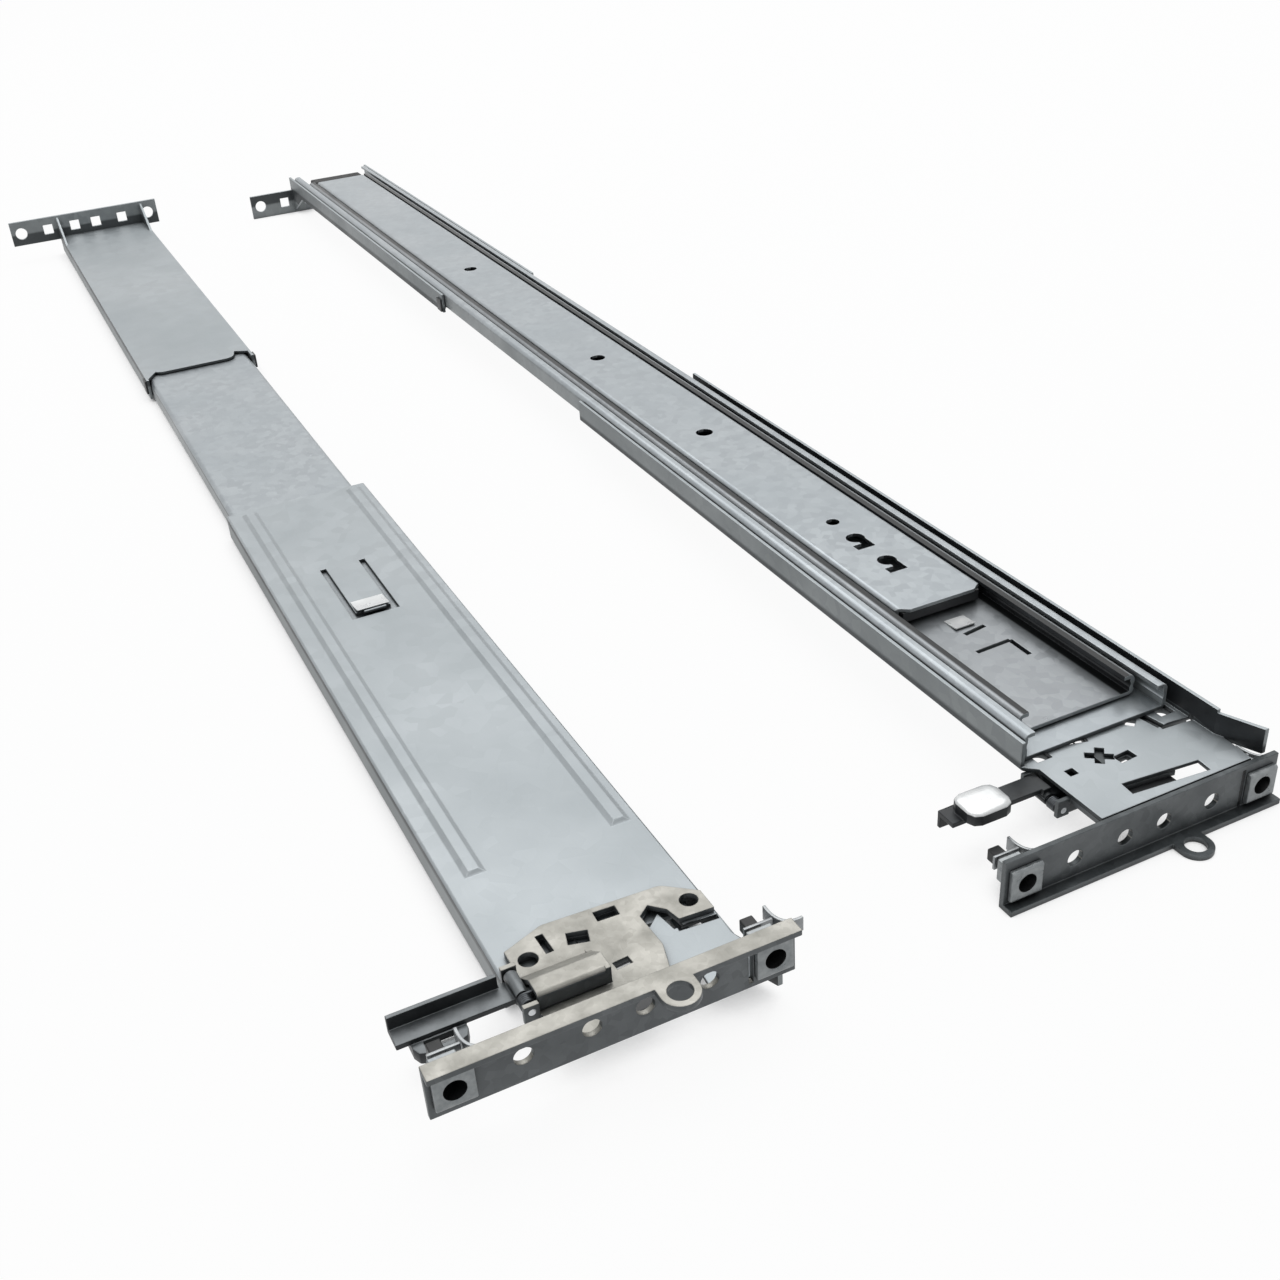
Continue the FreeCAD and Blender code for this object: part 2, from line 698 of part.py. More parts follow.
def rear_bracket():
    """Outer channel that slides on the slide channel to suit the rack's depth."""
    face = rear_play + rear_sheet
    web = plate([(rear_low + 8.0, rear_start, 5.0), (rear_high - 9.0, rear_start, 5.0),
                 (rear_high - 7.0, rear_start + 8.0, 0), (rear_high, rear_start + 4.0, 0),
                 (rear_high, rail_length, 0), (rear_low, rail_length, 0),
                 (rear_low, rear_start - 8.0, 0), (rear_low + 6.0, rear_start + 2.0, 0)],
                rear_play, face)
    lower = block(rear_low, rear_low + rear_sheet, rear_start - 8.0, rail_length,
                  -support_wall, face)
    upper = block(rear_high - rear_sheet, rear_high, rear_start - 3.0, rail_length,
                  -support_wall, face)
    flange = block(0, flange_width, rail_length - bracket_sheet, rail_length, rear_play,
                   flange_height)
    ends = []
    for u0, u1 in ((rear_low, rear_low + rear_sheet), (rear_high - rear_sheet, rear_high)):
        gusset = side_section([(rail_length - 26, face - 0.2, 0), (rail_length - 1, face - 0.2, 0),
                               (rail_length - 1, flange_height - 1, 0)], u0, u1)
        ends.append(gusset)
    shape = joined([web, lower, upper, flange] + ends)
    # round screw holes at the pin pitch, and square rack windows between them
    for u in (lower_pin, lower_pin + pin_spacing):
        shape = shape.cut(rod(rear_hole, 8, V(u, rail_length - 6, pin_level), V(0, 1, 0)))
    for u in flange_hole_places():
        shape = shape.cut(block(u - rear_window, u + rear_window, rail_length - 6,
                                rail_length + 2, pin_level - rear_window,
                                pin_level + rear_window))
    return shape


def rear_guides():
    """Small plastic runners in the front ends of the rear bracket's walls."""
    guides = []
    for u0, u1, s in ((rear_low - 0.9, rear_low, rear_start - 8.0),
                      (rear_high, rear_high + 0.9, rear_start - 3.0)):
        guides.append(block(u0, u1, s + 0.4, s + 6.0, -5.0, 1.2))
    return Part.makeCompound(guides)


# ---- bumper -------------------------------------------------------------------------
def rear_bumper():
    """Rubber bumper at the back of the channel, behind the middle member."""
    start = middle_end + bumper_gap
    return block(rail_centre - bumper_half, rail_centre + bumper_half, start,
                 start + bumper_length, -lip_level + 1.1, -slide_sheet)


# ---- the pair -----------------------------------------------------------------------
def rail_pieces():
    return {
        "front_support": front_support(),
        "front_bracket": front_bracket(),
        "slide_channel": slide_channel(),
        "middle_member": middle_member(),
        "inner_member": inner_member(),
        "outer_cage": cage(outer_ball_v, outer_ball_o, outer_cage_height, outer_cage_start,
                           outer_cage_length),
        "outer_balls": balls(outer_ball_v, outer_ball_o, outer_cage_start, outer_cage_length),
        "inner_cage": cage(inner_ball_v, inner_ball_o, inner_cage_height, inner_cage_start,
                           inner_cage_length),
        "inner_balls": balls(inner_ball_v, inner_ball_o, inner_cage_start, inner_cage_length),
        "mounting_pins": mounting_pins(),
        "pin_clips": pin_clips(),
        "latch_lever": latch_lever(),
        "latch_pin": latch_pin(),
        "latch_spring": latch_spring(),
        "rear_bracket": rear_bracket(),
        "rear_guides": rear_guides(),
        "rear_bumper": rear_bumper(),
    }


os.makedirs("parts", exist_ok=True)
pieces = rail_pieces()
for hand in hands:
    for name, shape in pieces.items():
        placed(shape, hand).exportStep("parts/%s_%s.step" % (hand, name))
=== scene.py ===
import json
import math

import bmesh
import bpy
import numpy as np
from mathutils import Matrix, Vector
from mathutils.bvhtree import BVHTree


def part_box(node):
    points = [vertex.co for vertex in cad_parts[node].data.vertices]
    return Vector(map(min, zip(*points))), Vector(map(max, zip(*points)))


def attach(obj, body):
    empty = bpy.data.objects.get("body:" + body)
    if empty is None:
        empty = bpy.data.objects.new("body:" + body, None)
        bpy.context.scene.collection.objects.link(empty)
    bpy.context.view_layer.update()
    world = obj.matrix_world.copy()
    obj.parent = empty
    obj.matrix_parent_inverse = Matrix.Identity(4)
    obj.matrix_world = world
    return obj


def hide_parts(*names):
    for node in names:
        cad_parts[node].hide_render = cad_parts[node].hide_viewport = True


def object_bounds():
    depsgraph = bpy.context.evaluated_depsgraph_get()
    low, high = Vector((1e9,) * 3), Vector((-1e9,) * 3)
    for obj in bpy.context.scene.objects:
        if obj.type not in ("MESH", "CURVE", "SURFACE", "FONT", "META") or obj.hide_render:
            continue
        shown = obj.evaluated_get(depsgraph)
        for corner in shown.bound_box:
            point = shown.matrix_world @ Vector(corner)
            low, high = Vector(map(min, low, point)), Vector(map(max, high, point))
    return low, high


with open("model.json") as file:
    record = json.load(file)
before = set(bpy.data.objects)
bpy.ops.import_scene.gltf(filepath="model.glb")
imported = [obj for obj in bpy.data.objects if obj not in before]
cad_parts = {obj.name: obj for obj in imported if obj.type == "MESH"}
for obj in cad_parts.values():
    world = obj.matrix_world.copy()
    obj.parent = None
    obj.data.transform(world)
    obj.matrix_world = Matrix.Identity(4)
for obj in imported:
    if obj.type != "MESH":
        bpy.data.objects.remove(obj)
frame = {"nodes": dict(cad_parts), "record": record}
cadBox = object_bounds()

mm = 0.001
hands = ("left", "right")
nodes = frame["nodes"]


# Where each rail lies. Along a rail: u across from the flange's end, s back from the
# flange's front face, o outward from the outer face of the slide channel, all in mm.
railSettings = {"pinReach": 1.6, "pinSquare": 9.4}  # how far the pins stand out, and their width


def railOrigin(hand):
    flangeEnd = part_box(hand + "_front_bracket")[0].x
    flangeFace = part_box(hand + "_mounting_pins")[0].y + railSettings["pinReach"] * mm
    low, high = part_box(hand + "_slide_channel")
    return np.array([flangeEnd, flangeFace, high.z if hand == "left" else low.z])


origins = {hand: railOrigin(hand) for hand in hands}
outward = {"left": 1.0, "right": -1.0}


def railMiddle(hand):  # u of the slide's centre line
    low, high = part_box(hand + "_slide_channel")
    return ((low.x + high.x) / 2 - origins[hand][0]) / mm


def toWorld(points, hand):  # rail coordinates in mm to metres in the frame
    points = np.asarray(points, float)
    return origins[hand] + points * np.array([mm, mm, mm * outward[hand]])


def railBox(node):  # a node's box in its rail's own coordinates, as two rows (u, s, o)
    hand = node.split("_")[0]
    corners = (np.array([list(c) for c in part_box(node)]) - origins[hand]) / mm
    corners[:, 2] *= outward[hand]
    return corners.min(0), corners.max(0)


def linear(code):  # sRGB hex to a linear colour
    parts = [int(code[i:i + 2], 16) / 255 for i in (1, 3, 5)]
    return tuple(p / 12.92 if p <= 0.04045 else ((p + 0.055) / 1.055) ** 2.4 for p in parts) + (1.0,)


def addNode(tree, kind, settings=None, links=None):
    node = tree.nodes.new(kind)
    for key, value in (settings or {}).items():
        if isinstance(key, int) or key in node.inputs:
            node.inputs[key].default_value = value
        else:
            setattr(node, key, value)
    for key, socket in (links or {}).items():
        tree.links.new(socket, node.inputs[key])
    return node


def newMaterial(name, settings):
    material = bpy.data.materials.new(name)
    material.use_nodes = True
    tree = material.node_tree
    tree.nodes.clear()
    shader = addNode(tree, "ShaderNodeBsdfPrincipled", settings)
    addNode(tree, "ShaderNodeOutputMaterial", links={"Surface": shader.outputs[0]})
    return material, tree, shader


def perMillimetre(tree, stretch=(1.0, 1.0, 1.0)):  # object coordinates counted in mm
    place = addNode(tree, "ShaderNodeTexCoord")
    scale = tuple(1000.0 * k for k in stretch)
    return addNode(tree, "ShaderNodeMapping", {"Scale": scale},
                   {"Vector": place.outputs["Object"]}).outputs[0]


def noise(tree, vector, size, detail=3.0, roughness=0.55):  # size of a patch in mm
    return addNode(tree, "ShaderNodeTexNoise",
                   {"Scale": 1.0 / size, "Detail": detail, "Roughness": roughness},
                   {"Vector": vector}).outputs["Fac"]


def ramp(tree, value, low, high, toLow=0.0, toHigh=1.0):
    return addNode(tree, "ShaderNodeMapRange",
                   {"From Min": low, "From Max": high, "To Min": toLow, "To Max": toHigh},
                   {"Value": value}).outputs[0]


def mixColour(tree, amount, first, second):
    node = addNode(tree, "ShaderNodeMix", {"data_type": "RGBA"}, {0: amount})
    for slotNumber, colour in ((6, first), (7, second)):
        if isinstance(colour, str):
            node.inputs[slotNumber].default_value = linear(colour)
        else:
            tree.links.new(colour, node.inputs[slotNumber])
    return node.outputs[2]


def apart(tree, value, middle):  # how far a value lies from a middle one
    less = addNode(tree, "ShaderNodeMath", {"operation": "SUBTRACT", 1: middle}, {0: value})
    return addNode(tree, "ShaderNodeMath", {"operation": "ABSOLUTE"},
                   {0: less.outputs[0]}).outputs[0]


def nearBendShade(tree, edges):
    # 1 close to the bends between webs and walls, which both rails have at the same distance
    # from the frame's middle height, and 0 further off, where painted shade goes; edges are the two
    # distances in mm
    place = addNode(tree, "ShaderNodeTexCoord").outputs["Object"]
    height = addNode(tree, "ShaderNodeSeparateXYZ", links={"Vector": place}).outputs["Z"]
    middle = (cadBox[0].z + cadBox[1].z) / 2
    return ramp(tree, apart(tree, height, middle), edges[0] * mm, edges[1] * mm, 1.0, 0.0)


def nearTrackShade(tree, edges):
    # 1 along the ball tracks, between the first and last distance in mm from the slide's
    # centre line, with a soft rim on both sides, where painted shade goes
    place = addNode(tree, "ShaderNodeTexCoord").outputs["Object"]
    across = addNode(tree, "ShaderNodeSeparateXYZ", links={"Vector": place}).outputs["X"]
    centres = [origins[hand][0] + railMiddle(hand) * mm for hand in hands]
    away = apart(tree, apart(tree, across, sum(centres) / 2), abs(centres[0] - centres[1]) / 2)
    inside = ramp(tree, away, edges[0] * mm, edges[1] * mm)
    outside = ramp(tree, away, edges[2] * mm, edges[3] * mm, 1.0, 0.0)
    return addNode(tree, "ShaderNodeMath", {"operation": "MULTIPLY"},
                   {0: inside, 1: outside}).outputs[0]


# colours of painted shade near the bends between webs and walls, along the ball tracks and in corners and
# gaps, how far and with how many rays the corner shade looks for nearby surfaces, then the bumps' depth,
# the pits' size and the grain's stretch
coatSettings = {"bent": "#4A4E50", "rolled": "#1E2021", "cornerShadeColour": "#17191A",
                "cornerShadeReach": 3.5, "cornerShadeRays": 6, "relief": 0.04, "pit": 1.3, "stretch": 0.04}


def sheetSteel(name, look):
    # rolled sheet with a zinc coat: crystals of the coat, a fine grain along the rolling
    # direction, broad dull clouds from handling, and painted shade, near black in corners and gaps
    material, tree, shader = newMaterial(name, {"Metallic": look["metallic"]})
    plain = perMillimetre(tree)
    along = perMillimetre(tree, (1.0, coatSettings["stretch"], 1.0))
    crystal = addNode(tree, "ShaderNodeTexVoronoi",
                      {"Scale": 1.0 / look["spangle"], "Randomness": 1.0},
                      {"Vector": plain}).outputs["Color"]
    crystal = addNode(tree, "ShaderNodeSeparateColor", links={"Color": crystal}).outputs[0]
    grain = noise(tree, along, look["grain"], 4.0, 0.6)
    cloud = noise(tree, plain, look["cloud"], 4.0, 0.5)
    colour = mixColour(tree, ramp(tree, crystal, 0.0, 1.0, 0.0, 1.0), look["dark"], look["light"])
    colour = mixColour(tree, ramp(tree, cloud, 0.35, 0.7, 0.0, look["cloudy"]), colour, look["stain"])
    colour = mixColour(tree, ramp(tree, grain, 0.35, 0.75, 0.0, look["lined"]), colour, look["dark"])
    # painted shade on the walls near their bends
    if "bend" in look:
        colour = mixColour(tree, nearBendShade(tree, look["bend"]), colour, coatSettings["bent"])
    # painted shade along the ball tracks
    if "track" in look:
        colour = mixColour(tree, nearTrackShade(tree, look["track"]), colour, coatSettings["rolled"])
    # painted shade: the colour goes towards near black where ambient occlusion finds other surfaces close
    # by
    corner = addNode(tree, "ShaderNodeAmbientOcclusion",
                     {"samples": coatSettings["cornerShadeRays"],
                      "Distance": coatSettings["cornerShadeReach"] * mm})
    colour = mixColour(tree, ramp(tree, corner.outputs["AO"], 0.3, 0.85, look["cornerShade"], 0.0),
                       colour, coatSettings["cornerShadeColour"])
    tree.links.new(colour, shader.inputs["Base Color"])
    rough = addNode(tree, "ShaderNodeMath", {"operation": "ADD"},
                    {0: ramp(tree, cloud, 0.3, 0.7, look["smooth"], look["rough"]),
                     1: ramp(tree, crystal, 0.0, 1.0, -0.03, 0.03)}).outputs[0]
    tree.links.new(rough, shader.inputs["Roughness"])
    height = addNode(tree, "ShaderNodeMath", {"operation": "ADD"},
                     {0: grain, 1: noise(tree, plain, coatSettings["pit"], 2.0)}).outputs[0]
    bump = addNode(tree, "ShaderNodeBump",
                   {"Strength": look["bump"], "Distance": coatSettings["relief"] * mm},
                   {"Height": height})
    tree.links.new(bump.outputs[0], shader.inputs["Normal"])
    return material


# Hot-dip galvanised sheet: pale bluish zinc, dull, with crystals a few millimetres wide
galvanised = sheetSteel("galvanised_sheet", {
    "metallic": 0.45, "spangle": 5.0, "grain": 0.5, "cloud": 55.0,
    "light": "#B0B6B9", "dark": "#A5ABAE", "stain": "#969DA0", "cloudy": 0.75, "lined": 0.3,
    "cornerShade": 0.75,
    "smooth": 0.36, "rough": 0.5, "bump": 0.22})
# The same coat on upright faces: a greyer and duller copy, painted shade on the walls, with more painted
# shade near their bends
galvanisedWall = sheetSteel("galvanised_sheet_shaded_side", {
    "metallic": 0.45, "spangle": 4.0, "grain": 0.4, "cloud": 40.0,
    "light": "#A0A5A6", "dark": "#8D9294", "stain": "#7C8183", "cloudy": 0.5, "lined": 0.4,
    "cornerShade": 0.55, "bend": (3.4, 4.6),
    "smooth": 0.42, "rough": 0.55, "bump": 0.2})
# Thin zinc plate over pressed steel: a little warmer than the dipped sheet, with fine grain
plated = sheetSteel("zinc_plated_pressing", {
    "metallic": 0.45, "spangle": 1.4, "grain": 0.35, "cloud": 7.0,
    "light": "#B3B1AA", "dark": "#9E9C95", "stain": "#7A7972", "cloudy": 0.7, "lined": 0.3,
    "cornerShade": 0.75,
    "smooth": 0.34, "rough": 0.46, "bump": 0.2})
# The same plate on upright faces: a much darker copy, painted shade
platedWall = sheetSteel("zinc_plated_pressing_shaded_side", {
    "metallic": 0.45, "spangle": 2.2, "grain": 0.35, "cloud": 14.0,
    "light": "#767A7C", "dark": "#626668", "stain": "#515557", "cloudy": 0.6, "lined": 0.35,
    "cornerShade": 0.8,
    "smooth": 0.4, "rough": 0.52, "bump": 0.2})
# The bracket's faces that look inwards from the web: much darker
platedUnder = sheetSteel("zinc_plated_pressing_inner_side", {
    "metallic": 0.45, "spangle": 2.2, "grain": 0.35, "cloud": 8.0,
    "light": "#5C6163", "dark": "#44494B", "stain": "#34383A", "cloudy": 0.7, "lined": 0.4,
    "cornerShade": 0.95,
    "smooth": 0.4, "rough": 0.52, "bump": 0.2})
# Roll-formed slide steel with bright zinc: smoother, with lines left by the forming rolls
rollFormed = sheetSteel("roll_formed_bright_zinc", {
    "metallic": 0.5, "spangle": 3.0, "grain": 0.3, "cloud": 35.0,
    "light": "#B3B9BC", "dark": "#A3A9AD", "stain": "#969DA1", "cloudy": 0.55, "lined": 0.4,
    "cornerShade": 0.85,
    "smooth": 0.3, "rough": 0.42, "bump": 0.25})
# The middle member's web, which the running member rubs: greyer and more finely lined, with painted shade
# along the ball tracks
rollFormedWeb = sheetSteel("roll_formed_zinc_worn", {
    "metallic": 0.5, "spangle": 3.0, "grain": 0.3, "cloud": 30.0,
    "light": "#A1A5A8", "dark": "#909497", "stain": "#808487", "cloudy": 0.5, "lined": 0.45,
    "cornerShade": 0.9, "track": (15.2, 15.9, 18.0, 18.7),
    "smooth": 0.3, "rough": 0.42, "bump": 0.25})
# The same slide steel on upright faces: a darker copy, painted shade, with more painted shade near their
# bends
rollFormedWall = sheetSteel("roll_formed_bright_zinc_side", {
    "metallic": 0.5, "spangle": 3.0, "grain": 0.3, "cloud": 25.0,
    "light": "#A5AAAB", "dark": "#919698", "stain": "#7F8486", "cloudy": 0.45, "lined": 0.5,
    "cornerShade": 0.55, "bend": (3.6, 4.8),
    "smooth": 0.34, "rough": 0.46, "bump": 0.25})


def plainMetal(name, look):  # small hard parts: an even metal with faint machining noise
    material, tree, shader = newMaterial(name, {"Metallic": look["metallic"]})
    plain = perMillimetre(tree)
    patch = noise(tree, plain, look["patch"], 4.0)
    colour = mixColour(tree, ramp(tree, patch, 0.3, 0.7), look["dark"], look["light"])
    tree.links.new(colour, shader.inputs["Base Color"])
    rough = ramp(tree, patch, 0.3, 0.7, look["smooth"], look["rough"])
    tree.links.new(rough, shader.inputs["Roughness"])
    bump = addNode(tree, "ShaderNodeBump", {"Strength": look["bump"], "Distance": 0.00003},
                   {"Height": noise(tree, plain, look["pit"], 2.0)})
    tree.links.new(bump.outputs[0], shader.inputs["Normal"])
    return material


# Blued spring strip and wire: dark oxide with a soft shine
springSteel = plainMetal("blued_spring_steel", {
    "metallic": 0.8, "light": "#5A5D60", "dark": "#3E4144", "patch": 4.0, "pit": 0.4,
    "smooth": 0.3, "rough": 0.45, "bump": 0.15})
# Zinc-plated spring strip of the clips: mid grey, satin
clipSteel = plainMetal("plated_spring_strip", {
    "metallic": 0.6, "light": "#A9ACAD", "dark": "#8B8E90", "patch": 3.0, "pit": 0.4,
    "smooth": 0.3, "rough": 0.42, "bump": 0.12})
# Hardened and polished ball steel
ballSteel = plainMetal("polished_bearing_steel", {
    "metallic": 1.0, "light": "#C9CCCE", "dark": "#BDC1C4", "patch": 3.0, "pit": 0.5,
    "smooth": 0.12, "rough": 0.2, "bump": 0.03})
# Milled and zinc-plated pins, brightest where they are worn by the rack's holes
pinSteel = plainMetal("milled_zinc_plated_steel", {
    "metallic": 0.5, "light": "#A3A7A8", "dark": "#7F8486", "patch": 2.0, "pit": 0.35,
    "smooth": 0.26, "rough": 0.4, "bump": 0.15})
# Bores and raceways: near black, painted shade in the pins' bores and on the walls that face inwards
# inside the slides
blackBore = plainMetal("bore_painted_shade", {
    "metallic": 0.3, "light": "#161819", "dark": "#0D0E0F", "patch": 3.0, "pit": 0.4,
    "smooth": 0.35, "rough": 0.5, "bump": 0.1})
shadedRaceway = plainMetal("raceway_painted_shade", {
    "metallic": 0.4, "light": "#34373A", "dark": "#1F2123", "patch": 9.0, "pit": 0.6,
    "smooth": 0.3, "rough": 0.5, "bump": 0.15})
# Dark-plated lever with a near-white finger paddle
leverSteel = plainMetal("dark_plated_lever", {
    "metallic": 0.5, "light": "#7C8082", "dark": "#5B5F61", "patch": 5.0, "pit": 0.4,
    "smooth": 0.32, "rough": 0.48, "bump": 0.15})
# the lever's upright and under faces: a near-black copy, painted shade
leverSide = plainMetal("dark_plated_lever_shaded_side", {
    "metallic": 0.5, "light": "#35383A", "dark": "#232527", "patch": 5.0, "pit": 0.4,
    "smooth": 0.34, "rough": 0.5, "bump": 0.15})
# the finger paddle: near white, a painted reflection on its shiny dome
paddleReflection = plainMetal("paddle_painted_reflection", {
    "metallic": 0.3, "light": "#F2F3F2", "dark": "#DEE0E0", "patch": 7.0, "pit": 0.6,
    "smooth": 0.2, "rough": 0.32, "bump": 0.06})
# Near-white zinc for the lifted tabs: a painted highlight
highlightZinc = plainMetal("tab_painted_highlight", {
    "metallic": 0.3, "light": "#F4F5F4", "dark": "#E4E6E6", "patch": 6.0, "pit": 1.5,
    "smooth": 0.24, "rough": 0.34, "bump": 0.02})
# Black moulded acetal and black rubber: smooth plastic with a faint skin, and dull rubber
acetal = plainMetal("moulded_black_acetal", {
    "metallic": 0.0, "light": "#26282A", "dark": "#1C1D1F", "patch": 6.0, "pit": 0.3,
    "smooth": 0.35, "rough": 0.5, "bump": 0.1})
rubber = plainMetal("moulded_black_rubber", {
    "metallic": 0.0, "light": "#232323", "dark": "#171717", "patch": 5.0, "pit": 0.25,
    "smooth": 0.6, "rough": 0.8, "bump": 0.3})
print("materials made")


def addPiece(name, mesh, body, slot, *materials):
    piece = bpy.data.objects.new(name, mesh)
    bpy.context.scene.collection.objects.link(piece)
    for material in materials:
        mesh.materials.append(material)
    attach(piece, body)
    return piece


def meshFrom(name, points, faces, hand):
    # faces wind outward on the left rail; the right rail mirrors, so they are turned round
    faces = np.asarray(faces)
    if hand == "right":
        faces = faces[:, ::-1]
    mesh = bpy.data.meshes.new(name)
    mesh.from_pydata(toWorld(points, hand).tolist(), [], faces.tolist())
    mesh.polygons.foreach_set("use_smooth", np.ones(len(mesh.polygons), bool))
    mesh.update()
    return mesh


def gridFaces(rows, columns, closeRows=False, closeColumns=False):
    # quads of a grid of points numbered row by row
    r = np.arange(rows if closeRows else rows - 1)
    c = np.arange(columns if closeColumns else columns - 1)
    r, c = np.meshgrid(r, c, indexing="ij")
    nextR, nextC = (r + 1) % rows, (c + 1) % columns
    quads = np.stack([r * columns + c, r * columns + nextC, nextR * columns + nextC,
                      nextR * columns + c], -1)
    return quads.reshape(-1, 4)


def addRounding(piece, width, angle):  # width in mm, on edges sharper than the angle in degrees
    rounding = piece.modifiers.new("rounding", "BEVEL")
    rounding.width = width * mm
    rounding.segments = 2
    rounding.limit_method = "ANGLE"
    rounding.angle_limit = math.radians(angle)
    return rounding


copySettings = {
    "merge": 0.002,  # mm between points that become one
    "flat": 0.998,  # a face whose normal lies this close to an axis is flat, the rest are bends
    "upright": 0.35, "under": -0.5, "inward": -0.3, "alongBore": 0.5, "padFace": 0.2,
    "inwardLevel": -0.5,  # mm; walls further in than this can face the slide's inside
    "sharp": 35, "thrown": 0.6}  # degrees, and the share of the rounding a point may stray


def finishedCopy(node, body, slot, look, skins):
    # a merged copy of a CAD node with its edges rounded; skins names the material of its flat
    # faces, and those of its upright, under, inward, bored and paddle ones: the upright, inward and bored
    # ones carry painted shade, the paddle a painted reflection
    hand = node.split("_")[0]
    source = nodes[node]
    mesh = source.data.copy()
    mesh.materials.clear()
    soup = bmesh.new()
    soup.from_mesh(mesh)
    bmesh.ops.remove_doubles(soup, verts=soup.verts, dist=copySettings["merge"] * mm)
    if "window" in look:
        narrowWindows(soup, hand, look["window"])
    for cut in look.get("widened", ()):
        widenCut(soup, hand, cut)
    if "dome" in look:
        bmesh.ops.dissolve_limit(soup, angle_limit=math.radians(0.5), verts=soup.verts,
                                 edges=soup.edges)
        raiseDome(soup, hand, look["dome"])
    soup.to_mesh(mesh)
    soup.free()
    piece = addPiece(node + "_finished", mesh, body, slot, *skins.values())
    count = len(mesh.polygons)
    normals = np.zeros(count * 3)
    mesh.polygons.foreach_get("normal", normals)
    normals = normals.reshape(-1, 3)
    mesh.polygons.foreach_set("use_smooth", np.abs(normals).max(1) < copySettings["flat"])
    centres = np.zeros(count * 3)
    mesh.polygons.foreach_get("center", centres)
    centres = (centres.reshape(-1, 3) - origins[hand]) / mm
    centres[:, 2] *= outward[hand]
    kinds = list(skins)
    chosen = np.zeros(count, np.int32)
    # upright faces take the darker copy: painted shade
    if "upright" in skins:
        chosen[np.abs(normals[:, 2]) < copySettings["upright"]] = kinds.index("upright")
    if "under" in skins:  # faces that look inwards from the web
        chosen[normals[:, 2] * outward[hand] < copySettings["under"]] = kinds.index("under")
    # these walls take the near-black raceway material: painted shade
    if "inward" in skins:  # walls that face the rail's centre line, inside the slide
        side = centres[:, 0] - railMiddle(hand)
        inward = normals[:, 0] * side < copySettings["inward"] * np.abs(side)
        chosen[inward & (centres[:, 2] < copySettings["inwardLevel"])] = kinds.index("inward")
    # the bores' walls take a near-black material: painted shade
    if "bored" in skins:  # walls of round bores along the rail, near one of the given axes
        for u, o, reach in look["bores"]:
            away = np.hypot(centres[:, 0] - u, centres[:, 2] - o)
            along = np.abs(normals[:, 1]) < copySettings["alongBore"]
            chosen[(away < reach) & along] = kinds.index("bored")
    # the paddle's near-white coat is a painted reflection
    if "pad" in skins:  # the box (u, s, o) of a part with a coat of its own
        low, high = look["pad"]
        within = np.all((centres > low) & (centres < high), axis=1)
        chosen[within & (np.abs(normals[:, 2]) > copySettings["padFace"])] = kinds.index("pad")
    mesh.polygons.foreach_set("material_index", chosen)
    rounding = addRounding(piece, look["round"], copySettings["sharp"])
    rounding.use_clamp_overlap = False
    rounding.loop_slide = False  # even widths, whichever way the sheet's triangles run
    settleRounding(piece, look["round"])
    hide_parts(node)
    return piece


def settleRounding(piece, width):
    # the rounding is applied, and a point that it threw further off than its own width, as
    # happens where thin triangles meet, goes back to the nearest place on the plain shape
    plain = piece.data
    surface = BVHTree.FromPolygons([v.co[:] for v in plain.vertices],
                                   [f.vertices[:] for f in plain.polygons])
    graph = bpy.context.evaluated_depsgraph_get()
    rounded = bpy.data.meshes.new_from_object(piece.evaluated_get(graph))
    for vertex in rounded.vertices:
        place, _, _, away = surface.find_nearest(vertex.co)
        if away > width * mm * copySettings["thrown"]:
            vertex.co = place
    piece.modifiers.clear()
    piece.data = rounded


def narrowWindows(soup, hand, window):
    # the rack windows' edges are drawn towards their centres: every point of the flange's own
    # thickness that lies as far from a centre as a window's corner comes in by one share
    step, gap = window["step"], window["gap"]
    first = pinAxes[hand][0][0] + step
    places = (first, first + step, first + step + gap, first + 2 * step + gap)
    level = pinAxes[hand][0][1]
    for vertex in soup.verts:
        u, s, o = (np.array(vertex.co) - origins[hand]) / mm * (1, 1, outward[hand])
        for place in places:
            aside = (u - place, o - level)
            if s > window["from"] and max(abs(aside[0]), abs(aside[1])) < window["reach"]:
                near = (place + aside[0] * window["keep"], s, level + aside[1] * window["keep"])
                vertex.co = Vector(toWorld(near, hand))


def widenCut(soup, hand, cut):
    # the rim of a small cut in the web moves out from the cut's middle by one share
    centre = np.array(cut["at"])
    for vertex in soup.verts:
        u, s, o = (np.array(vertex.co) - origins[hand]) / mm * (1, 1, outward[hand])
        away = np.array([u, s]) - centre
        if np.abs(away).max() < cut["reach"]:
            place = centre + away * cut["share"]
            vertex.co = Vector(toWorld((place[0], place[1], o), hand))


def raiseDome(soup, hand, dome):
    # the face nearest to a point is drawn in and raised step by step, as a quarter of an
    # ellipse rises: at a share t of the way in, the height is the full height times sin
    top = Vector(toWorld(dome["at"], hand))
    best = min(soup.faces, key=lambda f: (f.calc_center_median() - top).length)
    angles = np.linspace(0.0, math.pi / 2, dome["steps"] + 1)
    inward = dome["inset"] * (1 - np.cos(angles))
    height = dome["height"] * np.sin(angles)
    for step in range(dome["steps"]):
        bmesh.ops.inset_region(soup, faces=[best], use_even_offset=True,
                               thickness=(inward[step + 1] - inward[step]) * mm,
                               depth=(height[step + 1] - height[step]) * mm)


bodies = frame["record"]["behaviour"]["bodies"]
bodyOf = {node: body for body, members in bodies.items() for node in members}


def pinPlaces(hand):  # u and o of the axes of a rail's two square pins
    low, high = railBox(hand + "_mounting_pins")
    half = railSettings["pinSquare"] / 2
    return [(low[0] + half, (low[2] + high[2]) / 2), (high[0] - half, (low[2] + high[2]) / 2)]


